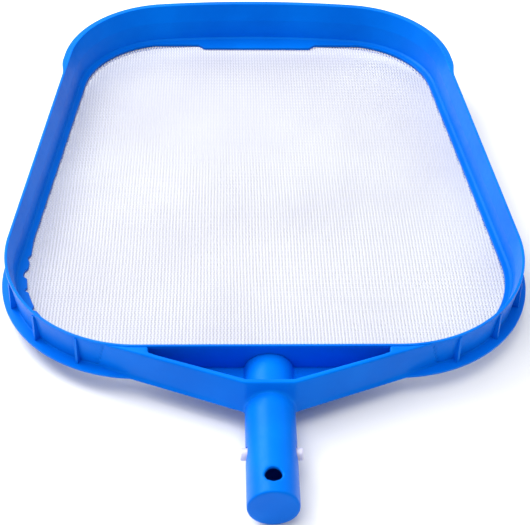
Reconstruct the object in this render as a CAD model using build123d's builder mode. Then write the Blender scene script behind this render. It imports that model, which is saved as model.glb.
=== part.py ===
"""Leaf skimmer net for pools and spas: a shallow framed net on a stub that snaps into a telescopic pole.

Millimetres. +Y points from the pole stub to the leading edge and +Z is up, out of the open tray. The origin
is under the middle of the whole net, level with the lowest point of the stub.
"""
from build123d import *
import os
from math import asin, atan, atan2, cos, degrees, hypot, radians, sin, sqrt, tan

# Driving dimensions
overall_length = 404.0  # closed end of the stub to the lip of the leading edge
stub_radius = 12.5
stub_length = 88.5  # closed end to the cross-bar
stub_bore_radius = 10.0
stub_axis_rise = 1.5  # stub axis above the underside of the frame
hoop_length = 306.0
rear_width = 290.0  # outside the foot of the wall, along the cross-bar side
front_width = 222.5  # the same, along the leading edge
rear_corner_radius = 71.0
front_corner_radius = 61.0
front_bow = 3.2
rear_wall_height = 20.0  # underside of the frame to the rim at the cross-bar
front_wall_height = 28.3  # the same at the leading edge
wall_thickness = 2.2
wall_lean = 7.0  # degrees, outwards with height
lip_thickness = 2.0
lip_fade = 16.0  # length over which the lip runs out behind each front corner
flange_width = 6.0
flange_thickness = 1.6
rib_thickness = 1.4
rib_foot = 3.4
rib_top_reach = 3.0
rib_top_drop = 1.2  # below the rim at the rear
rib_corner_angles = (25.0, 47.0, 69.0)  # degrees round each rear corner, from straight back
rib_side_count = 5

# Net and the ring that clamps it
mesh_gap = 0.8
mesh_thickness = 0.6
mesh_inset = 0.6
ring_width = 3.4
ring_thickness = 1.8
ring_clearance = 0.1
front_ledge = 4.5  # extra width of the ring along the leading edge
tab_length = 72.0
tab_depth = 4.0

# Yoke: distances behind the cross-bar
nose_half_width = 12.5  # at the underside
nose_reach = 29.2
nose_rim_half_width = 12.2
nose_rim_reach = 26.5
arm_top_rise = 22.0  # height the arms are built to, before they are cut off along the rim
arm_sink = 0.2  # how far the ends of the arms are set into the corners
ledge_half_width = 73.0  # where the flange's edge turns along the arm, to narrow towards the nose
ledge_reach = 5.0
arm_thickness = 2.7  # at the rim
nose_block_half_width = 15.0  # the nose as a block of its own, astride the stub
pocket_half_width = 60.0  # beyond this the arm and the cross-bar merge into one web
pocket_floor_thickness = 2.4

# Stub details
end_wall = 2.5
blind_end = 15.0
end_piece_length = 21.0
slot_width = 12.0  # window in the underside, through which the spring clip goes in
slot_length = 31.0
slot_inset = 41.0
top_hole_radius = 4.0
top_hole_inset = 10.7
button_inset = 32.0
button_hole_radius = 3.9
button_hole_shift = 0.4  # towards the closed end, the way the pressed button swings

# Spring clip
button_radius = 3.0
button_stand_out = 2.6
button_dome = 0.6
shank_radius = 2.7
cap_lift = 0.1  # the button's full width starts this far outside the stub
leg_thickness = 1.2
leg_height = 8.0
leg_spread = 7.6  # from the centre plane to the leg, at the button
leg_length = 36.0  # bend to button
leg_tail = 5.0
bend_radius = 3.0
bend_gap = 0.15
button_root_depth = 1.2  # how far the button's shank is set into the leg

# Derived dimensions
stub_end_y = -overall_length / 2
end_piece_y = stub_end_y + end_piece_length
bar_y = stub_end_y + stub_length
bore_end_y = bar_y - blind_end
hoop_front_y = bar_y + hoop_length + front_bow
axis_z = stub_radius
base_z = axis_z - stub_axis_rise
seat_z = base_z + flange_thickness
ring_z = seat_z + mesh_gap
lean = tan(radians(wall_lean))
side_angle = degrees(atan((rear_width - front_width) / 2 / hoop_length))
rim_slope = degrees(atan((front_wall_height - rear_wall_height) / (hoop_front_y - bar_y)))
wall_top_z = base_z + front_wall_height + 2.0
lip_width = overall_length / 2 - hoop_front_y - lean * (base_z + front_wall_height - seat_z)
button_y = stub_end_y + button_inset
bend_y = button_y + leg_length
dome_radius = (button_radius ** 2 + button_dome ** 2) / (2 * button_dome)
leg_angle = degrees(atan((leg_spread - bend_radius) / leg_length))


def corner_x(radius, y):
    """Half width at which a corner of this radius, centred at y, touches the slanted side."""
    side_x = rear_width / 2 - (y - bar_y) * tan(radians(side_angle))
    return side_x - radius / cos(radians(side_angle))


rear_centre = (corner_x(rear_corner_radius, bar_y + rear_corner_radius), bar_y + rear_corner_radius)
front_centre_y = hoop_front_y - front_bow - front_corner_radius
front_centre = (corner_x(front_corner_radius, front_centre_y), front_centre_y)
bow_drop = (front_centre[0] ** 2 - front_bow ** 2) / (2 * front_bow)
bow_centre_y = front_centre_y - bow_drop
bow_radius = hoop_front_y - bow_centre_y
bow_angle = degrees(atan2(front_centre[0], bow_drop))

rim_plane = Plane(
    origin=(0, bar_y, base_z + rear_wall_height),
    z_dir=(0, -sin(radians(rim_slope)), cos(radians(rim_slope))),
)
bar_end_plane = Plane(origin=(rear_centre[0], 0, 0), z_dir=(1, 0, 0))
side_normal = (-sin(radians(side_angle)), cos(radians(side_angle)), 0)
side_start_plane = Plane(origin=(*rear_centre, 0), z_dir=side_normal)
side_end_plane = Plane(origin=(*front_centre, 0), z_dir=side_normal)
front_end_plane = Plane(
    origin=(*front_centre, 0),
    z_dir=(cos(radians(bow_angle)), -sin(radians(bow_angle)), 0),
)


def hoop_face(grow=0.0, mode=Mode.ADD):
    """The rounded, tapered outline of the hoop, grown outwards, in the current sketch."""
    with BuildLine() as outline:
        Line((0, bar_y - grow), (rear_centre[0], bar_y - grow))
        rear_arc = CenterArc(rear_centre, rear_corner_radius + grow, -90, 90 + side_angle)
        front_arc = CenterArc(
            front_centre, front_corner_radius + grow, side_angle, 90 - bow_angle - side_angle
        )
        Line(rear_arc @ 1, front_arc @ 0)
        CenterArc((0, bow_centre_y), bow_radius + grow, 90 - bow_angle, bow_angle)
        mirror(about=Plane.YZ)
    make_face(outline.edges(), mode=mode)


def leaning_hoop(grow=0.0, mode=Mode.ADD):
    """A solid block with the hoop's outline at the seat, leaning outwards from there up."""
    with BuildSketch(Plane.XY.offset(seat_z)) as seat_plan:
        hoop_face(grow)
    extrude(seat_plan.sketch, amount=wall_top_z - seat_z, taper=-wall_lean, mode=mode)


def side_x(y, grow):
    """Half width of the hoop at y, on the straight slanted side, grown outwards."""
    return rear_width / 2 - (y - bar_y) * tan(radians(side_angle)) + grow / cos(radians(side_angle))


def hoop_wall():
    """The whole leaning wall of the hoop with the lip of its leading edge, cut off along the rim."""
    rim_grow = lean * (base_z + front_wall_height - seat_z)
    lip_end_y = front_centre[1] - lip_fade
    lip_x = side_x(front_centre[1], rim_grow + lip_width)
    fade_x = side_x(lip_end_y, rim_grow - wall_thickness)
    leaning_hoop(lip_width)
    split(bisect_by=rim_plane.offset(-lip_thickness), keep=Keep.TOP)
    with BuildSketch(Plane.XY.offset(seat_z)) as lip_plan:
        Polygon(
            (fade_x, lip_end_y),
            (lip_x, front_centre[1]),
            (lip_x, overall_length),
            (-lip_x, overall_length),
            (-lip_x, front_centre[1]),
            (-fade_x, lip_end_y),
            align=None,
        )
    extrude(lip_plan.sketch, amount=wall_top_z, mode=Mode.INTERSECT)
    leaning_hoop()
    leaning_hoop(-wall_thickness, Mode.SUBTRACT)
    split(bisect_by=rim_plane, keep=Keep.BOTTOM)


def stub_block(mode=Mode.ADD):
    """The solid cylinder of the stub, from its closed end to the cross-bar."""
    with BuildSketch(Plane.XZ.offset(-bar_y)) as stub_section:
        with Locations((0, axis_z)):
            Circle(stub_radius)
    extrude(stub_section.sketch, amount=stub_length, mode=mode)


def hoop_block(mode=Mode.SUBTRACT):
    """Everything inside the outer face of the hoop, from the underside up."""
    with BuildSketch(Plane.XY.offset(base_z)) as foot_plan:
        hoop_face()
    extrude(foot_plan.sketch, amount=flange_thickness, mode=mode)
    leaning_hoop(0, mode)


def yoke_outline(rise):
    """Plan of the yoke at a height above the underside: two arms, tangent to the corners, and a flat nose."""
    share = rise / rear_wall_height
    half_width = nose_half_width + share * (nose_rim_half_width - nose_half_width)
    nose_y = bar_y - nose_reach - share * (nose_rim_reach - nose_reach)
    radius = rear_corner_radius + lean * max(rise - flange_thickness, 0) - arm_sink
    across = rear_centre[0] - half_width
    along = rear_centre[1] - nose_y
    span = hypot(across, along)
    run = sqrt(span ** 2 - radius ** 2)
    angle = atan2(along, across) - asin(radius / span)
    root = (half_width + run * cos(angle), nose_y + run * sin(angle))
    return [
        (-root[0], rear_centre[1]),
        (-root[0], root[1]),
        (-half_width, nose_y),
        (half_width, nose_y),
        root,
        (root[0], rear_centre[1]),
    ]


def pocket_face():
    """The plan of the two pockets and the stub between them, inside the yoke's walls."""
    outline = Polygon(*yoke_outline(rear_wall_height), align=None, mode=Mode.PRIVATE)
    offset(outline, amount=-arm_thickness, kind=Kind.INTERSECTION)
    with Locations((0, bar_y)):
        Rectangle(2 * pocket_half_width, 2 * nose_reach, mode=Mode.INTERSECT)


def yoke_walls():
    """Both arms and the nose of the yoke, trimmed to the hoop and the stub."""
    rings = [
        Wire.make_polygon([Vector(x, y, base_z + rise) for x, y in yoke_outline(rise)], close=True)
        for rise in (0, arm_top_rise)
    ]
    add(Solid.make_loft(rings, ruled=True))
    split(bisect_by=rim_plane, keep=Keep.BOTTOM)
    with BuildSketch(Plane.XY.offset(base_z)) as pocket_plan:
        pocket_face()
    extrude(pocket_plan.sketch, amount=wall_top_z, mode=Mode.SUBTRACT)
    hoop_block()
    stub_block(Mode.SUBTRACT)


def finish(part, name):
    """Label a finished sub-part and write it."""
    part.part.label = name
    export_step(part.part, f"parts/{name}.step")


os.makedirs("parts", exist_ok=True)
sides = (("left", -1), ("right", 1))

# Wall of the hoop: one straight panel or corner at a time
with BuildPart() as cross_bar:
    hoop_wall()
    with BuildSketch(Plane.XY.offset(seat_z)):
        with Locations((0, bar_y)):
            Rectangle(2 * rear_centre[0], rear_corner_radius)
    extrude(amount=wall_top_z, mode=Mode.INTERSECT)
finish(cross_bar, "cross_bar")

with BuildPart() as leading_edge_wall:
    hoop_wall()
    split(bisect_by=Plane.YZ, keep=Keep.TOP)
    split(bisect_by=front_end_plane, keep=Keep.BOTTOM)
    split(bisect_by=Plane.XZ.offset(-front_centre[1]), keep=Keep.BOTTOM)
    mirror(about=Plane.YZ)
finish(leading_edge_wall, "leading_edge_wall")

for side_name, side in sides:
    with BuildPart() as side_wall:
        hoop_wall()
        split(bisect_by=Plane.YZ, keep=Keep.TOP)
        split(bisect_by=side_start_plane, keep=Keep.TOP)
        split(bisect_by=side_end_plane, keep=Keep.BOTTOM)
        if side < 0:
            mirror(about=Plane.YZ, mode=Mode.REPLACE)
    finish(side_wall, f"{side_name}_side_wall")

    with BuildPart() as rear_corner:
        hoop_wall()
        split(bisect_by=bar_end_plane, keep=Keep.TOP)
        split(bisect_by=side_start_plane, keep=Keep.BOTTOM)
        if side < 0:
            mirror(about=Plane.YZ, mode=Mode.REPLACE)
    finish(rear_corner, f"rear_{side_name}_corner")

    with BuildPart() as front_corner:
        hoop_wall()
        split(bisect_by=Plane.YZ, keep=Keep.TOP)
        split(bisect_by=side_end_plane, keep=Keep.TOP)
        split(bisect_by=front_end_plane, keep=Keep.TOP)
        if side < 0:
            mirror(about=Plane.YZ, mode=Mode.REPLACE)
    finish(front_corner, f"front_{side_name}_corner")

# Flange outside the foot of the wall, and the seat of the net inside it
with BuildPart() as foot_flange:
    with BuildSketch(Plane.XY.offset(base_z)):
        hoop_face(flange_width)
        Polygon(
            (nose_half_width, bar_y - nose_reach),
            (ledge_half_width, bar_y - ledge_reach),
            (ledge_half_width, rear_centre[1]),
            (nose_half_width, rear_centre[1]),
            align=None,
        )
        mirror(about=Plane.YZ)
        Polygon(*yoke_outline(0), align=None, mode=Mode.SUBTRACT)
        hoop_face()
        hoop_face(-wall_thickness - ring_width, Mode.SUBTRACT)
    extrude(amount=flange_thickness)
finish(foot_flange, "foot_flange")

# Gussets from the flange up the outside of the wall
with BuildPart() as gusset_ribs:
    rib_top = base_z + rear_wall_height - rib_top_drop
    with BuildSketch(Plane.XZ) as rib_section:
        Polygon((0, seat_z), (rib_foot, seat_z), (rib_top_reach, rib_top), (0, rib_top), align=None)
    rib = extrude(rib_section.sketch, amount=rib_thickness / 2, both=True, mode=Mode.PRIVATE)
    for corner_angle in rib_corner_angles:
        turn = -90 + corner_angle
        foot = Vector(*rear_centre) + Vector(rear_corner_radius, 0).rotate(Axis.Z, turn)
        add(rib.rotate(Axis.Z, turn).translate(foot))
    side_run = (front_centre[1] - rear_centre[1]) / rib_side_count
    for index in range(rib_side_count):
        rib_y = rear_centre[1] + (index + 0.5) * side_run
        add(rib.rotate(Axis.Z, side_angle).translate(Vector(side_x(rib_y, 0), rib_y)))
    mirror(about=Plane.YZ)
    leaning_hoop(0, Mode.SUBTRACT)
finish(gusset_ribs, "gusset_ribs")

# Yoke: arms, nose and the floors of the two pockets
for side_name, side in sides:
    with BuildPart() as yoke_arm:
        yoke_walls()
        split(bisect_by=Plane.YZ.offset(nose_block_half_width), keep=Keep.TOP)
        if side < 0:
            mirror(about=Plane.YZ, mode=Mode.REPLACE)
    finish(yoke_arm, f"{side_name}_yoke_arm")

    with BuildPart() as pocket_floor:
        with BuildSketch(Plane.XY.offset(base_z)):
            pocket_face()
        extrude(amount=pocket_floor_thickness)
        hoop_block()
        stub_block(Mode.SUBTRACT)
        split(bisect_by=Plane.YZ, keep=Keep.TOP)
        if side < 0:
            mirror(about=Plane.YZ, mode=Mode.REPLACE)
    finish(pocket_floor, f"{side_name}_pocket_floor")

with BuildPart() as yoke_nose:
    yoke_walls()
    split(bisect_by=Plane.YZ.offset(nose_block_half_width), keep=Keep.BOTTOM)
    split(bisect_by=Plane.YZ.offset(-nose_block_half_width), keep=Keep.TOP)
finish(yoke_nose, "yoke_nose")

# Stub that plugs into the pole: its closed end, its slotted barrel and its solid root
for node, cut_from, cut_to in (
    ("stub_end", stub_end_y, end_piece_y),
    ("stub_barrel", end_piece_y, bore_end_y),
    ("stub_root", bore_end_y, bar_y),
):
    with BuildPart() as stub_piece:
        stub_block()
        hoop_block()
        with BuildSketch(Plane.XZ.offset(-stub_end_y - end_wall)):
            with Locations((0, axis_z)):
                Circle(stub_bore_radius)
        extrude(amount=-(bore_end_y - stub_end_y - end_wall), mode=Mode.SUBTRACT)
        with BuildSketch(Plane.XY):
            with Locations((0, stub_end_y + slot_inset)):
                Rectangle(slot_width, slot_length, align=(Align.CENTER, Align.MIN))
        extrude(amount=stub_radius, mode=Mode.SUBTRACT)
        with BuildSketch(Plane.XY.offset(axis_z)):
            with Locations((0, stub_end_y + top_hole_inset)):
                Circle(top_hole_radius)
        extrude(amount=stub_radius, mode=Mode.SUBTRACT)
        with BuildSketch(Plane.YZ):
            with Locations((button_y - button_hole_shift, axis_z)):
                Circle(button_hole_radius)
        extrude(amount=stub_radius, both=True, mode=Mode.SUBTRACT)
        split(bisect_by=Plane.XZ.offset(-cut_from), keep=Keep.BOTTOM)
        split(bisect_by=Plane.XZ.offset(-cut_to), keep=Keep.TOP)
    finish(stub_piece, node)

# Net and the ring that holds it down
with BuildPart() as mesh_net:
    with BuildSketch(Plane.XY.offset(seat_z + (mesh_gap - mesh_thickness) / 2)):
        hoop_face(-wall_thickness - mesh_inset)
    extrude(amount=mesh_thickness)
finish(mesh_net, "mesh_net")

with BuildPart() as mesh_retaining_ring:
    ring_inner = -wall_thickness - ring_width
    front_edge_y = hoop_front_y + ring_inner - front_ledge
    with BuildSketch(Plane.XY.offset(ring_z)):
        hoop_face(-wall_thickness - ring_clearance)
    extrude(amount=ring_thickness)
    with BuildSketch(Plane.XY.offset(ring_z)):
        hoop_face(ring_inner)
        Polygon(
            (-rear_width, -rear_width),
            (-rear_width, front_edge_y),
            (-tab_length / 2 - tab_depth, front_edge_y),
            (-tab_length / 2, front_edge_y - tab_depth),
            (tab_length / 2, front_edge_y - tab_depth),
            (tab_length / 2 + tab_depth, front_edge_y),
            (rear_width, front_edge_y),
            (rear_width, -rear_width),
            align=None,
            mode=Mode.INTERSECT,
        )
    extrude(amount=ring_thickness, mode=Mode.SUBTRACT)
finish(mesh_retaining_ring, "mesh_retaining_ring")

# Spring clip: a folded strip with a button on each leg
with BuildPart() as clip_bend:
    with BuildSketch(Plane.XY.offset(axis_z - leg_height / 2)):
        with Locations((0, bend_y)):
            Circle(bend_radius + leg_thickness / 2)
            Circle(bend_radius - leg_thickness / 2, mode=Mode.SUBTRACT)
            Rectangle(4 * bend_radius, 2 * bend_radius, align=(Align.CENTER, Align.MAX), mode=Mode.SUBTRACT)
    extrude(amount=leg_height)
finish(clip_bend, "clip_bend")

leg_plane = Plane(
    origin=(bend_radius, bend_y, axis_z),
    x_dir=(sin(radians(leg_angle)), -cos(radians(leg_angle)), 0),
    z_dir=(0, 0, 1),
)
leg_reach = leg_length / cos(radians(leg_angle))
for side_name, side in sides:
    with BuildPart() as clip_leg:
        with BuildSketch(leg_plane):
            with Locations((bend_gap, 0)):
                Rectangle(leg_reach + leg_tail - bend_gap, leg_thickness, align=(Align.MIN, Align.CENTER))
        extrude(amount=leg_height / 2, both=True)
        with BuildSketch(Plane.YZ.offset(leg_spread - button_root_depth)):
            with Locations((button_y, axis_z)):
                Circle(shank_radius)
        extrude(amount=stub_radius, mode=Mode.SUBTRACT)
        if side < 0:
            mirror(about=Plane.YZ, mode=Mode.REPLACE)
    finish(clip_leg, f"{side_name}_clip_leg")

    with BuildPart() as snap_button:
        with BuildSketch(Plane.XY.offset(axis_z)):
            with BuildLine():
                button_root = leg_spread - button_root_depth
                button_tip = stub_radius + button_stand_out
                dome_angle = degrees(asin(button_radius / dome_radius))
                CenterArc((button_tip - dome_radius, button_y), dome_radius, 0, dome_angle)
                Polyline(
                    (button_tip, button_y),
                    (button_root, button_y),
                    (button_root, button_y + shank_radius),
                    (stub_radius + cap_lift, button_y + shank_radius),
                    (stub_radius + cap_lift, button_y + button_radius),
                    (button_tip - button_dome, button_y + button_radius),
                )
            make_face()
        revolve(axis=Axis((0, button_y, axis_z), (1, 0, 0)))
        if side < 0:
            mirror(about=Plane.YZ, mode=Mode.REPLACE)
    finish(snap_button, f"{side_name}_snap_button")
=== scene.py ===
"""Looks of the leaf skimmer net: glossy moulding, knitted net and its ring, snap clip, and the studio."""
from math import atan, atan2, ceil, cos, pi, radians, sin, sqrt, tan

import bmesh
import bpy
from mathutils import Matrix, Vector


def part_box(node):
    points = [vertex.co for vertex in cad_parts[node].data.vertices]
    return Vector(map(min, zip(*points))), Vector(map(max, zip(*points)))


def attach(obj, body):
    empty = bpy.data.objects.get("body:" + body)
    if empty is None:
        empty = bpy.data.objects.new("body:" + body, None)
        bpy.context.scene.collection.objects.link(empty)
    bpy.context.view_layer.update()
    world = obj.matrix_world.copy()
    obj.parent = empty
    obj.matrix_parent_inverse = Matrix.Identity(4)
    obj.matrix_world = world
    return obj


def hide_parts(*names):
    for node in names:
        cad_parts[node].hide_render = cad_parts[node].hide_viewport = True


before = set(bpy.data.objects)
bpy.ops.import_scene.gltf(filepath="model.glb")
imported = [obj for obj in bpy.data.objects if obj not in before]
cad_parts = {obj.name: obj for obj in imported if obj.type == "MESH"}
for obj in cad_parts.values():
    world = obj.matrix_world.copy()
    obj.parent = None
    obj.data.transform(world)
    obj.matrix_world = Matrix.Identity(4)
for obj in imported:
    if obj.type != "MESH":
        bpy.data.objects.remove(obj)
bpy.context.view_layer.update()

# ---------------- sizes, in metres, and places from the frame
MM = 0.001
flange_low, flange_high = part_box("foot_flange")
ring_low, ring_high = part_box("mesh_retaining_ring")
net_low, net_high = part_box("mesh_net")

BASE_Z = flange_low[2]
SEAT_Z = flange_high[2]
BAR_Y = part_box("stub_root")[1][1]

# Outline of the hoop at the foot of its wall
HOOP_LENGTH = 306 * MM
FRONT_BOW = 3.2 * MM
REAR_WIDTH = 290 * MM
FRONT_WIDTH = 222.5 * MM
REAR_RADIUS = 71 * MM
FRONT_RADIUS = 61 * MM
SIDE_ANGLE = atan((REAR_WIDTH - FRONT_WIDTH) / 2 / HOOP_LENGTH)
HOOP_FRONT_Y = BAR_Y + HOOP_LENGTH + FRONT_BOW

# Section of the moulding
REAR_HEIGHT = 20 * MM
FRONT_HEIGHT = 28.3 * MM
WALL = 2.2 * MM
RIM_WALL = 1.3 * MM
LEAN = tan(radians(7))
FACET_SHARE = 0.58  # how far up the inside of the wall its slope changes
FACET_STEP = 0.35 * MM
LIP_WIDTH = 3.0 * MM
LIP_THICKNESS = 2.0 * MM
LIP_STEP = 0.35 * MM
LIP_FADE = 16 * MM
RIM_BEAD = 0.12 * MM
RIM_STEP = 0.1 * MM
RIM_UNDERCUT = 0.01 * MM
FLANGE_WIDTH = 6 * MM
SEAT_INSET = 5.6 * MM

# Radii of the moulding's rounded edges
UNDERSIDE_EDGE = 0.3 * MM
SOFT_EDGE = 0.4 * MM
RIM_EDGE = 0.5 * MM
FOOT_FILLET = 0.6 * MM
FACET_FILLET = 1.2 * MM
LIP_ROOT_EDGE = 0.1 * MM

# The ledge of the flange along the yoke's arms
NOSE_HALF_WIDTH = 12.5 * MM
NOSE_REACH = 29.2 * MM
LEDGE_HALF_WIDTH = 73.0 * MM
LEDGE_REACH = 5.0 * MM
ARM_ROOT_HALF_WIDTH = 93.8 * MM
ARM_ROOT_REACH = 5.8 * MM
LEDGE_OVERLAP = 2 * MM

# How the yoke and stub are fused and softened
WELD_GAP = 0.002 * MM
VOXEL = 0.55 * MM
SOFTENING = 0.5
SOFTENING_ROUNDS = 16


def side_centre_x(radius, y):
    """Half width of the corner centre at y whose arc of this radius touches the slanted side."""
    return REAR_WIDTH / 2 - (y - BAR_Y) * tan(SIDE_ANGLE) - radius / cos(SIDE_ANGLE)


REAR_Y = BAR_Y + REAR_RADIUS
REAR_X = side_centre_x(REAR_RADIUS, REAR_Y)
FRONT_Y = HOOP_FRONT_Y - FRONT_BOW - FRONT_RADIUS
FRONT_X = side_centre_x(FRONT_RADIUS, FRONT_Y)
BOW_DROP = (FRONT_X ** 2 - FRONT_BOW ** 2) / (2 * FRONT_BOW)
BOW_Y = FRONT_Y - BOW_DROP
BOW_RADIUS = HOOP_FRONT_Y - BOW_Y
BOW_ANGLE = atan2(FRONT_X, BOW_DROP)

# Sections along each stretch of half the hoop
BAR_STEPS = 24
REAR_STEPS = 48
SIDE_STEPS = 48
FRONT_STEPS = 40
BOW_STEPS = 60


# ---------------- materials
def new_material(name):
    """A new material, with its node tree and its Principled shader."""
    material = bpy.data.materials.new(name)
    material.use_nodes = True
    tree = material.node_tree
    shader = tree.nodes["Principled BSDF"]
    return material, tree, shader


def add_node(tree, kind, **settings):
    """A node with its inputs or properties set by name."""
    node = tree.nodes.new(kind)
    for key, value in settings.items():
        if key in node.inputs:
            node.inputs[key].default_value = value
        else:
            setattr(node, key, value)
    return node


def noise(tree, coords, scale, detail=3.0, roughness=0.5):
    """A noise texture over object coordinates."""
    node = add_node(tree, "ShaderNodeTexNoise", Scale=scale, Detail=detail, Roughness=roughness)
    tree.links.new(coords.outputs["Object"], node.inputs["Vector"])
    return node


def ramp(tree, source, low, high, at_low=0.3, at_high=0.7):
    """Colours, or greys given as numbers, between two places on a ramp."""
    node = tree.nodes.new("ShaderNodeValToRGB")
    for element, place, colour in zip(node.color_ramp.elements, (at_low, at_high), (low, high)):
        element.position = place
        element.color = (*colour, 1) if isinstance(colour, tuple) else (colour, colour, colour, 1)
    tree.links.new(source, node.inputs["Fac"])
    return node


def bump(tree, shader, height, strength, distance):
    """Bump from a height output onto the shader's normal."""
    node = add_node(tree, "ShaderNodeBump", Strength=strength, Distance=distance)
    tree.links.new(height, node.inputs["Height"])
    tree.links.new(node.outputs["Normal"], shader.inputs["Normal"])


def blue_plastic(name, depth):
    """Glossy moulded polypropylene, its blue scaled by depth; a depth below 1 darkens it as painted shade.
    Faint flow streaks, sink ripples and scuffs.
    """
    ripple_share = 3.0
    material, tree, shader = new_material(name)
    coords = tree.nodes.new("ShaderNodeTexCoord")
    streaks = noise(tree, coords, scale=28, detail=4)
    dark = (0.0, 0.126 * depth, 0.64 * depth)
    light = (0.0, 0.151 * depth, 0.71 * depth)
    tint = ramp(tree, streaks.outputs["Fac"], dark, light, at_low=0.35, at_high=0.65)
    tree.links.new(tint.outputs["Color"], shader.inputs["Base Color"])
    scuffs = noise(tree, coords, scale=260, detail=5, roughness=0.65)
    gloss = ramp(tree, scuffs.outputs["Fac"], low=0.34, high=0.46, at_low=0.4, at_high=0.75)
    tree.links.new(gloss.outputs["Color"], shader.inputs["Roughness"])
    grain = noise(tree, coords, scale=900, detail=3)
    ripple = noise(tree, coords, scale=70, detail=2)
    mixed = add_node(tree, "ShaderNodeMath", operation="MULTIPLY_ADD")
    tree.links.new(ripple.outputs["Fac"], mixed.inputs[0])
    mixed.inputs[1].default_value = ripple_share
    tree.links.new(grain.outputs["Fac"], mixed.inputs[2])
    bump(tree, shader, mixed.outputs["Value"], strength=0.10, distance=0.2 * MM)
    shader.inputs["IOR"].default_value = 1.49
    shader.inputs["Specular IOR Level"].default_value = 0.18
    shader.inputs["Specular Tint"].default_value = (0.05, 0.5, 1.0, 1)
    return material


def clip_plastic():
    """Milky natural polymer: pale, a little translucent, with fine moulding grain."""
    material, tree, shader = new_material("milky_clip_plastic")
    coords = tree.nodes.new("ShaderNodeTexCoord")
    cloud = noise(tree, coords, scale=300, detail=3)
    tint = ramp(tree, cloud.outputs["Fac"], low=(0.50, 0.49, 0.64), high=(0.62, 0.61, 0.75))
    tree.links.new(tint.outputs["Color"], shader.inputs["Base Color"])
    grain = noise(tree, coords, scale=1500, detail=2)
    gloss = ramp(tree, grain.outputs["Fac"], low=0.28, high=0.42)
    tree.links.new(gloss.outputs["Color"], shader.inputs["Roughness"])
    bump(tree, shader, grain.outputs["Fac"], strength=0.08, distance=0.1 * MM)
    shader.inputs["Subsurface Weight"].default_value = 0.35
    shader.inputs["Subsurface Radius"].default_value = (0.003, 0.003, 0.003)
    shader.inputs["Subsurface Scale"].default_value = 0.6
    return material


def net_fabric():
    """Fine white polyester yarn: broken up by its filaments, with a soft sheen."""
    material, tree, shader = new_material("white_knitted_net")
    coords = tree.nodes.new("ShaderNodeTexCoord")
    patches = noise(tree, coords, scale=14, detail=3)
    tint = ramp(tree, patches.outputs["Fac"], low=(0.475, 0.48, 0.55), high=(0.55, 0.56, 0.615))
    tree.links.new(tint.outputs["Color"], shader.inputs["Base Color"])
    fibres = noise(tree, coords, scale=2500, detail=2)
    gloss = ramp(tree, fibres.outputs["Fac"], low=0.5, high=0.75)
    tree.links.new(gloss.outputs["Color"], shader.inputs["Roughness"])
    bump(tree, shader, fibres.outputs["Fac"], strength=0.25, distance=0.1 * MM)
    shader.inputs["Sheen Weight"].default_value = 0.25
    return material


BLUE = blue_plastic("blue_moulded_plastic", depth=1.0)
# The ring's blue is darkened to 0.82 as painted shade, for the shade at the foot of the wall.
SHADED_RING_BLUE = blue_plastic("blue_ring_plastic_painted_shade", depth=0.82)
CLIP = clip_plastic()
YARN = net_fabric()


# ---------------- mesh helpers
LONGEST_ROUNDING = 0.45  # share of an edge that one rounded corner may take


def new_piece(name, points, faces, material, sharp):
    """A mesh object from points and faces, smooth but for edges sharper than an angle in degrees."""
    mesh = bpy.data.meshes.new(name)
    mesh.from_pydata(points, [], faces)
    mesh.validate()
    mesh.materials.append(material)
    piece = bpy.data.objects.new(name, mesh)
    bpy.context.scene.collection.objects.link(piece)
    outward(mesh)
    shade(mesh, sharp)
    return piece


def outward(mesh):
    """Turns every face of a closed mesh outward."""
    work = bmesh.new()
    work.from_mesh(mesh)
    bmesh.ops.recalc_face_normals(work, faces=work.faces)
    work.to_mesh(mesh)
    work.free()


def shade(mesh, sharp):
    """Smooth shading, with edges sharper than an angle in degrees left sharp."""
    for face in mesh.polygons:
        face.use_smooth = True
    mesh.set_sharp_from_angle(angle=radians(sharp))


def weigh_normals(piece):
    """Keeps flat faces flat beside their rounded edges."""
    modifier = piece.modifiers.new("flat_faces", "WEIGHTED_NORMAL")
    modifier.keep_sharp = True


def rounded(corners, steps=3):
    """A closed outline whose corners (a, b, radius) become arcs, all with the same count of points."""
    points = []
    count = len(corners)
    for index, (a, b, radius) in enumerate(corners):
        corner = Vector((a, b))
        before = Vector(corners[index - 1][:2]) - corner
        after = Vector(corners[(index + 1) % count][:2]) - corner
        half = before.angle(after) / 2
        reach = min(radius / tan(half), LONGEST_ROUNDING * before.length, LONGEST_ROUNDING * after.length)
        radius = reach * tan(half)
        inward = (before.normalized() + after.normalized()).normalized()
        middle = corner + inward * (radius / sin(half))
        start = corner + before.normalized() * reach - middle
        turn = start.angle_signed(corner + after.normalized() * reach - middle)
        for step in range(steps + 1):
            angle = -turn * step / steps
            points.append(tuple(middle + Matrix.Rotation(angle, 2) @ start))
    return points


def swept(sections):
    """Points and faces of a closed tube through a closed loop of sections with equal counts."""
    points = [point for section in sections for point in section]
    size = len(sections[0])
    total = len(points)
    faces = []
    for ring in range(len(sections)):
        for index in range(size):
            a = ring * size + index
            b = ring * size + (index + 1) % size
            faces.append((a, b, (b + size) % total, (a + size) % total))
    return points, faces


def arc_stations(centre, radius, start, end, steps):
    """Points on an arc with their outward normals, without the last."""
    angles = [start + (end - start) * step / steps for step in range(steps)]
    return [
        (Vector((centre[0] + radius * cos(a), centre[1] + radius * sin(a))), Vector((cos(a), sin(a))))
        for a in angles
    ]


def line_stations(start, end, normal, steps):
    """Points on a straight run with its normal, without the last."""
    return [(start.lerp(end, step / steps), normal) for step in range(steps)]


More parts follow.
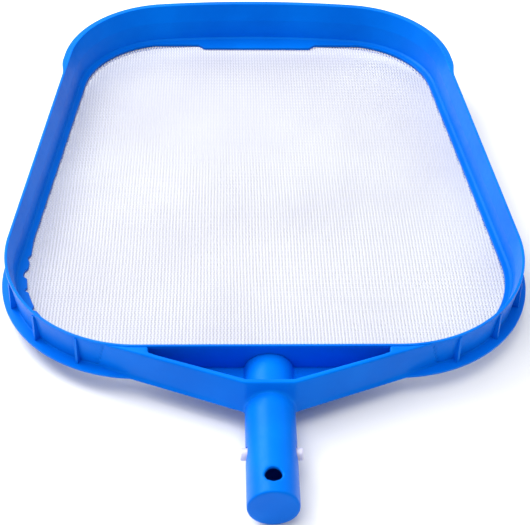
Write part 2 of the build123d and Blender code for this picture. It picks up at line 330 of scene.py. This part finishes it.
def hoop_stations():
    """The foot of the hoop's wall, all the way round from the middle of the cross-bar."""
    side = Vector((cos(SIDE_ANGLE), sin(SIDE_ANGLE)))
    rear_end = Vector((REAR_X, REAR_Y)) + REAR_RADIUS * side
    front_start = Vector((FRONT_X, FRONT_Y)) + FRONT_RADIUS * side
    half = line_stations(Vector((0, BAR_Y)), Vector((REAR_X, BAR_Y)), Vector((0, -1)), BAR_STEPS)
    half += arc_stations((REAR_X, REAR_Y), REAR_RADIUS, -pi / 2, SIDE_ANGLE, REAR_STEPS)
    half += line_stations(rear_end, front_start, side, SIDE_STEPS)
    half += arc_stations((FRONT_X, FRONT_Y), FRONT_RADIUS, SIDE_ANGLE, pi / 2 - BOW_ANGLE, FRONT_STEPS)
    half += arc_stations((0, BOW_Y), BOW_RADIUS, pi / 2 - BOW_ANGLE, pi / 2, BOW_STEPS)
    front = (Vector((0, HOOP_FRONT_Y)), Vector((0, 1)))
    other = [(Vector((-p.x, p.y)), Vector((-n.x, n.y))) for p, n in half[:0:-1]]
    return half + [front] + other


def placed(station, outline):
    """An outline of (outward, height) pairs stood up at a station of the hoop."""
    point, normal = station
    return [(*(point + normal * out), height) for out, height in outline]


# ---------------- the moulding
def smooth_step(value):
    """0 to 1 with soft ends."""
    value = min(max(value, 0), 1)
    return value * value * (3 - 2 * value)


def lip_share(y):
    """How much of the lip is there: none along the sides, all of it round the front."""
    return smooth_step((y - FRONT_Y + LIP_FADE) / LIP_FADE)


def hoop_section(station):
    """Section of flange, leaning wall, rim and lip at one station, as (outward, height) pairs."""
    y = station[0].y
    height = REAR_HEIGHT + (FRONT_HEIGHT - REAR_HEIGHT) * (y - BAR_Y) / (HOOP_FRONT_Y - BAR_Y)
    rim = BASE_Z + height
    rise = rim - SEAT_Z
    out = LEAN * rise
    share = lip_share(y)
    lip = RIM_BEAD + (LIP_WIDTH - RIM_BEAD) * share
    step = RIM_STEP + LIP_STEP * share
    facet = -WALL + out * FACET_SHARE - FACET_STEP
    lip_root = out - LEAN * (step + LIP_THICKNESS)
    return rounded([
        (-SEAT_INSET, BASE_Z, UNDERSIDE_EDGE),
        (-SEAT_INSET, SEAT_Z, UNDERSIDE_EDGE),
        (-WALL, SEAT_Z, SOFT_EDGE),
        (facet, SEAT_Z + rise * FACET_SHARE, FACET_FILLET),
        (-RIM_WALL + out, rim, SOFT_EDGE),
        (out, rim, RIM_EDGE),
        (out - RIM_UNDERCUT, rim - step, LIP_ROOT_EDGE),
        (out + lip, rim - step, SOFT_EDGE),
        (out + lip, rim - step - LIP_THICKNESS, SOFT_EDGE),
        (lip_root, rim - step - LIP_THICKNESS, RIM_EDGE),
        (0, SEAT_Z, FOOT_FILLET),
        (FLANGE_WIDTH, SEAT_Z, SOFT_EDGE),
        (FLANGE_WIDTH, BASE_Z, UNDERSIDE_EDGE),
    ])


def hoop():
    """The whole hoop in one sweep."""
    stations = hoop_stations()
    points, faces = swept([placed(station, hoop_section(station)) for station in stations])
    piece = new_piece("hoop_moulding", points, faces, BLUE, sharp=50)
    weigh_normals(piece)
    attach(piece, "frame")
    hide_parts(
        "cross_bar", "rear_left_corner", "rear_right_corner", "left_side_wall", "right_side_wall",
        "front_left_corner", "front_right_corner", "leading_edge_wall", "foot_flange",
    )


def yoke_ledge(work, side):
    """Adds the flange's narrow ledge along the foot of one arm, out to the nose."""
    plan = (
        (NOSE_HALF_WIDTH, BAR_Y - NOSE_REACH),
        (LEDGE_HALF_WIDTH, BAR_Y - LEDGE_REACH),
        (ARM_ROOT_HALF_WIDTH, BAR_Y + ARM_ROOT_REACH),
        (NOSE_HALF_WIDTH, BAR_Y - NOSE_REACH + LEDGE_OVERLAP),
    )
    low = [work.verts.new((side * x, y, BASE_Z)) for x, y in plan]
    high = [work.verts.new((side * x, y, SEAT_Z)) for x, y in plan]
    turned = (low[::-1], high) if side > 0 else (low, high[::-1])
    for cap in turned:
        work.faces.new(cap)
    for index in range(len(plan)):
        following = (index + 1) % len(plan)
        wall = [low[index], low[following], high[following], high[index]]
        work.faces.new(wall if side > 0 else wall[::-1])


def yoke_and_stub():
    """Yoke, pocket floors and stub fused into one skin, with the soft fillets of a moulding."""
    nodes = (
        "left_yoke_arm", "right_yoke_arm", "yoke_nose", "left_pocket_floor", "right_pocket_floor",
        "stub_root", "stub_barrel", "stub_end",
    )
    work = bmesh.new()
    for node in nodes:
        work.from_mesh(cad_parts[node].data)
    for side in (-1, 1):
        yoke_ledge(work, side)
    bmesh.ops.remove_doubles(work, verts=work.verts, dist=WELD_GAP)
    mesh = bpy.data.meshes.new("yoke_and_stub_moulding")
    work.to_mesh(mesh)
    work.free()
    piece = bpy.data.objects.new("yoke_and_stub_moulding", mesh)
    bpy.context.scene.collection.objects.link(piece)
    fuse = piece.modifiers.new("fuse", "REMESH")
    fuse.mode = "VOXEL"
    fuse.voxel_size = VOXEL
    soften = piece.modifiers.new("soften", "SMOOTH")
    soften.factor = SOFTENING
    soften.iterations = SOFTENING_ROUNDS
    apply_modifiers(piece)
    piece.data.materials.clear()
    piece.data.materials.append(BLUE)
    shade(piece.data, sharp=60)
    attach(piece, "frame")
    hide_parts(*nodes)


def apply_modifiers(piece):
    """Bakes a piece's modifiers into its mesh."""
    bpy.context.view_layer.update()
    shown = piece.evaluated_get(bpy.context.evaluated_depsgraph_get())
    mesh = bpy.data.meshes.new_from_object(shown)
    piece.modifiers.clear()
    piece.data = mesh


# ---------------- the ring that holds the net
FRONT_FACING = 0.5  # of a normal along Y, from where the wide front ledge may begin
FRONT_LEDGE = 4.5 * MM
TAB_HALF = 36 * MM
TAB_DEPTH = 4 * MM
FLASH_DEPTH = 2.1 * MM
FLASH_START = -12 * MM
FLASH_END = -97 * MM
FLASH_FADE_FRONT = 25 * MM
FLASH_FADE_REAR = 14 * MM
NICK_PITCH = 15 * MM
NICK_DRIFT = 5.1  # second wave of the nicks, in half turns to a pitch, so that no two look alike
NICK_DRIFT_SHARE = 0.4
NICK_LEVEL = 0.4
NICK_SLOPE = 0.25
COLLAR_INSET = 2.6 * MM
COLLAR_RISE = 1.2 * MM
COLLAR_FILLET = 1.5 * MM
COLLAR_SINK = 0.6 * MM  # how far the collar's top runs into the wall
RING_SINK = 0.3 * MM
RING_UNDER_EDGE = 0.2 * MM
RING_TOP_EDGE = 0.35 * MM
RING_HIDDEN_EDGE = 0.15 * MM


def ring_front_edge(x):
    """Where the ring's inner edge runs along the front: straight, but for the tab."""
    tab = min(max(TAB_HALF + TAB_DEPTH - abs(x), 0), TAB_DEPTH)
    return HOOP_FRONT_Y - SEAT_INSET - FRONT_LEDGE - tab


def ring_flash(point):
    """Extra width of the weld flash at the left rear corner, with nicks where the net pokes through."""
    if point.x > 0:
        return 0
    front = smooth_step((FLASH_START - point.y) / FLASH_FADE_FRONT)
    rear = smooth_step((point.y - FLASH_END) / FLASH_FADE_REAR)
    turn = pi * point.y / NICK_PITCH
    wave = cos(2 * turn) + NICK_DRIFT_SHARE * cos(NICK_DRIFT * turn)
    nick = smooth_step((wave - NICK_LEVEL) / NICK_SLOPE)
    return FLASH_DEPTH * front * rear * (1 - nick)


def ring_section(station):
    """Section of the ring that holds the net down, wider along the front and deeper at its tab."""
    point, normal = station
    depth = ring_flash(point)
    if normal.y > FRONT_FACING:
        inner_y = point.y - normal.y * SEAT_INSET
        depth = max(inner_y - ring_front_edge(point.x), 0) / normal.y
    low, high = ring_low[2], ring_high[2]
    return rounded([
        (-SEAT_INSET - depth, low, RING_UNDER_EDGE),
        (-SEAT_INSET - depth, high, RING_TOP_EDGE),
        (-SEAT_INSET + COLLAR_INSET, high, COLLAR_FILLET),
        (-WALL + COLLAR_SINK, high + COLLAR_RISE, RING_HIDDEN_EDGE),
        (-WALL + RING_SINK, low, RING_HIDDEN_EDGE),
    ])


def net_ring():
    """The ring inside the foot of the wall, in a darker blue that is painted shade."""
    stations = hoop_stations()
    points, faces = swept([placed(station, ring_section(station)) for station in stations])
    piece = new_piece("net_ring", points, faces, SHADED_RING_BLUE, sharp=50)
    weigh_normals(piece)
    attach(piece, "frame")
    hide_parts("mesh_retaining_ring")


# ---------------- the net
NET_INSET = 0.6 * MM
CHAIN_PITCH = 1.8 * MM
CHAIN_HALF_WIDTH = 0.42 * MM
CHAIN_RISE = 0.11 * MM
CHAIN_STEP = 10 * MM
STITCH = 1.7 * MM
INLAY_HALF_WIDTH = 0.46 * MM
INLAY_RISE = 0.12 * MM
INLAY_DROP = 0.04 * MM
SHORTEST_RUN = 4  # stitches; a shorter chain or inlay is left out
SWAY = 0.12 * MM
SWAY_ALONG = 61  # this and the next three in radians to a metre
SWAY_ACROSS = 37
SLACK_ALONG = 70
SLACK_ACROSS = 90
SLACK = 0.05 * MM


def yarn_tube(points, faces, path, across, half_width, height):
    """Adds one closed yarn of three-cornered section along a path, widened along a direction."""
    first = len(points)
    for place in path:
        points.append(place - across * half_width)
        points.append(place + across * half_width)
        points.append(place + Vector((0, 0, height)))
    for step in range(len(path) - 1):
        a = first + 3 * step
        for corner in range(3):
            b = (corner + 1) % 3
            faces.append((a + corner, a + b, a + b + 3, a + corner + 3))
    last = len(points) - 3
    faces.append((first, first + 2, first + 1))
    faces.append((last, last + 1, last + 2))


def net_reach(x):
    """Where the net starts and ends along Y at a given x, inside the hoop's wall."""
    grow = -WALL - NET_INSET
    across = abs(x)
    start = BAR_Y - grow
    if across > REAR_X:
        start = REAR_Y - sqrt(max((REAR_RADIUS + grow) ** 2 - (across - REAR_X) ** 2, 0))
    end = BOW_Y + sqrt((BOW_RADIUS + grow) ** 2 - across ** 2)
    if across > FRONT_X:
        end = FRONT_Y + sqrt(max((FRONT_RADIUS + grow) ** 2 - (across - FRONT_X) ** 2, 0))
    side_x = FRONT_X + (FRONT_RADIUS + grow) * cos(SIDE_ANGLE)
    if across > side_x:
        end = BAR_Y + (REAR_WIDTH / 2 + grow / cos(SIDE_ANGLE) - across) / tan(SIDE_ANGLE)
    return start, end


def net_height(x, y):
    """Height of the net: stretched flat between seat and ring, but for slight slack waves."""
    return (net_low[2] + net_high[2]) / 2 + SLACK * sin(x * SLACK_ACROSS) * sin(y * SLACK_ALONG + 1)


def chain_place(x, y, drop=0):
    """A point on the chain that starts out at x, with its slight sway sideways."""
    return Vector((x + SWAY * sin(y * SWAY_ALONG + x * SWAY_ACROSS), y, net_height(x, y) - drop))


def net():
    """The knitted net: chains of stitches along the hoop, tied by a zigzag inlay between each two."""
    points = []
    faces = []
    count = int((net_high[0] - WALL) / CHAIN_PITCH)
    chains = [index * CHAIN_PITCH for index in range(-count, count + 1)]
    sideways = Vector((1, 0, 0))
    lengthways = Vector((0, 1, 0))
    for x in chains:
        start, end = net_reach(x)
        if end - start < SHORTEST_RUN * STITCH:
            continue
        steps = max(int((end - start) / CHAIN_STEP), 2)
        path = [chain_place(x, start + (end - start) * step / steps) for step in range(steps + 1)]
        yarn_tube(points, faces, path, sideways, CHAIN_HALF_WIDTH, CHAIN_RISE)
    for x, following in zip(chains, chains[1:]):
        outer = max(abs(x), abs(following))
        start, end = net_reach(outer)
        first = ceil(start / STITCH)
        last = int(end // STITCH)
        if last - first < SHORTEST_RUN:
            continue
        rows = range(first, last + 1)
        path = [chain_place(x if row % 2 else following, row * STITCH, INLAY_DROP) for row in rows]
        yarn_tube(points, faces, path, lengthways, INLAY_HALF_WIDTH, INLAY_RISE)
    piece = new_piece("net", points, faces, YARN, sharp=35)
    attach(piece, "frame")
    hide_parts("mesh_net")


# ---------------- the snap clip
def lathe_x(profile, centre, side, steps=40):
    """Points and faces of a solid turned about X, from a profile of (along, radius), with flat ends."""
    points = []
    faces = []
    for along, radius in profile:
        for step in range(steps):
            angle = 2 * pi * step / steps
            points.append((
                side * along,
                centre[1] + radius * cos(angle),
                centre[2] + radius * sin(angle),
            ))
    rings = len(profile)
    for ring in range(rings - 1):
        for step in range(steps):
            a = ring * steps + step
            b = ring * steps + (step + 1) % steps
            faces.append((a, b, b + steps, a + steps))
    faces.append(tuple(range(steps)))
    faces.append(tuple(range((rings - 1) * steps, rings * steps)))
    return points, faces


def snap_button(side_name, side):
    """A domed button, as long as its CAD node."""
    low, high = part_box(f"{side_name}_snap_button")
    root, tip = sorted((abs(low[0]), abs(high[0])))
    centre = [(a + b) / 2 for a, b in zip(low, high)]
    radius = (high[1] - low[1]) / 2
    chamfer = 0.3 * MM
    dome = 0.9 * MM
    dome_inset = 1.1 * MM
    dome_steps = 9
    crown_share = 0.3
    crown_drop = 0.01 * MM
    profile = [(root, radius - chamfer), (root + chamfer, radius), (tip - dome, radius)]
    for step in range(1, dome_steps):
        angle = pi / 2 * step / dome_steps
        profile.append((tip - dome + dome * sin(angle), radius - dome_inset * (1 - cos(angle))))
    profile.append((tip - crown_drop, radius * crown_share))
    points, faces = lathe_x(profile, centre, side)
    piece = new_piece(f"{side_name}_button", points, faces, CLIP, sharp=50)
    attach(piece, f"{side_name}_clip")
    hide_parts(f"{side_name}_snap_button")


# ---------------- gussets, clip legs and clip bend
COPY_WELD_GAP = 0.001 * MM
FLAT_ANGLE = radians(1)
EDGE_ANGLE = 35  # degrees; sharper edges are rounded
GUSSET_EDGE = 0.3 * MM
CLIP_EDGE = 0.2 * MM


def softened_copy(node, name, body, material, width):
    """A CAD node's shape with its edges rounded over."""
    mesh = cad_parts[node].data.copy()
    mesh.materials.clear()
    mesh.materials.append(material)
    piece = bpy.data.objects.new(name, mesh)
    bpy.context.scene.collection.objects.link(piece)
    work = bmesh.new()
    work.from_mesh(mesh)
    bmesh.ops.remove_doubles(work, verts=work.verts, dist=COPY_WELD_GAP)
    bmesh.ops.dissolve_limit(work, angle_limit=FLAT_ANGLE, verts=work.verts, edges=work.edges)
    work.to_mesh(mesh)
    work.free()
    rounding = piece.modifiers.new("rounding", "BEVEL")
    rounding.width = width
    rounding.segments = 3
    rounding.limit_method = "ANGLE"
    rounding.angle_limit = radians(EDGE_ANGLE)
    shade(mesh, EDGE_ANGLE)
    weigh_normals(piece)
    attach(piece, body)
    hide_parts(node)


# ---------------- studio
FLOOR_HALF_SIZE = 6
FLOOR_DROP = 0.5 * MM


def floor():
    """A pale floor under the whole net."""
    work = bmesh.new()
    bmesh.ops.create_grid(work, x_segments=8, y_segments=8, size=FLOOR_HALF_SIZE)
    mesh = bpy.data.meshes.new("floor")
    work.to_mesh(mesh)
    work.free()
    plane = bpy.data.objects.new("floor", mesh)
    bpy.context.scene.collection.objects.link(plane)
    plane.location.z = -FLOOR_DROP
    material, _, shader = new_material("pale_floor")
    shader.inputs["Base Color"].default_value = (0.82, 0.82, 0.82, 1)
    shader.inputs["Roughness"].default_value = 0.9
    mesh.materials.append(material)


def area_light(name, place, size, power):
    """A soft box aimed at the middle of the net."""
    data = bpy.data.lights.new(name, "AREA")
    data.shape = "RECTANGLE"
    data.size = size[0]
    data.size_y = size[1]
    data.energy = power
    light = bpy.data.objects.new(name, data)
    bpy.context.scene.collection.objects.link(light)
    light.location = place
    light.rotation_euler = (-Vector(place)).to_track_quat("-Z", "Y").to_euler()


def studio():
    """Soft light from above and both sides, and a pale surround."""
    world = bpy.data.worlds.new("studio")
    bpy.context.scene.world = world
    world.use_nodes = True
    background = world.node_tree.nodes["Background"]
    background.inputs["Color"].default_value = (0.95, 0.97, 1.0, 1)
    background.inputs["Strength"].default_value = 0.46
    area_light("key", (-1.1, 0.9, 1.35), (1.3, 1.1), 42)
    area_light("top", (-0.2, -0.1, 1.6), (1.4, 1.4), 22)
    area_light("fill", (-1.1, -1.1, 0.8), (1.0, 1.0), 5)
    area_light("side", (1.3, -0.2, 0.9), (1.0, 1.0), 3)
    bpy.context.scene.view_settings.view_transform = "Standard"


LENS = 88.77  # millimetres, on a sensor 36 mm wide
CAMERA_PLACE = (-23.3 * MM, -572.4 * MM, 493.6 * MM)
CAMERA_PITCH = radians(41.7)
CAMERA_YAW = radians(-2.5)
CAMERA_ROLL = radians(1.6)


def camera():
    """From behind the stub, looking down along the net."""
    data = bpy.data.cameras.new("camera")
    data.sensor_width = 36
    data.sensor_fit = "AUTO"
    data.lens = LENS
    data.clip_start = 0.01
    eye = bpy.data.objects.new("camera", data)
    bpy.context.scene.collection.objects.link(eye)
    tilt = Matrix.Rotation(pi / 2 - CAMERA_PITCH, 3, "X")
    turn = Matrix.Rotation(CAMERA_YAW, 3, "Z") @ tilt @ Matrix.Rotation(CAMERA_ROLL, 3, "Z")
    eye.matrix_world = Matrix.Translation(CAMERA_PLACE) @ turn.to_4x4()
    bpy.context.scene.camera = eye


# ---------------- building it all
hoop()
yoke_and_stub()
net_ring()
softened_copy("gusset_ribs", "gussets", "frame", BLUE, GUSSET_EDGE)
for side_name, side in (("left", -1), ("right", 1)):
    snap_button(side_name, side)
    leg = f"{side_name}_clip_leg"
    spring = f"{side_name}_clip_spring"
    softened_copy(leg, spring, f"{side_name}_clip", CLIP, CLIP_EDGE)
softened_copy("clip_bend", "clip_fold", "frame", CLIP, CLIP_EDGE)
net()
floor()
studio()
camera()
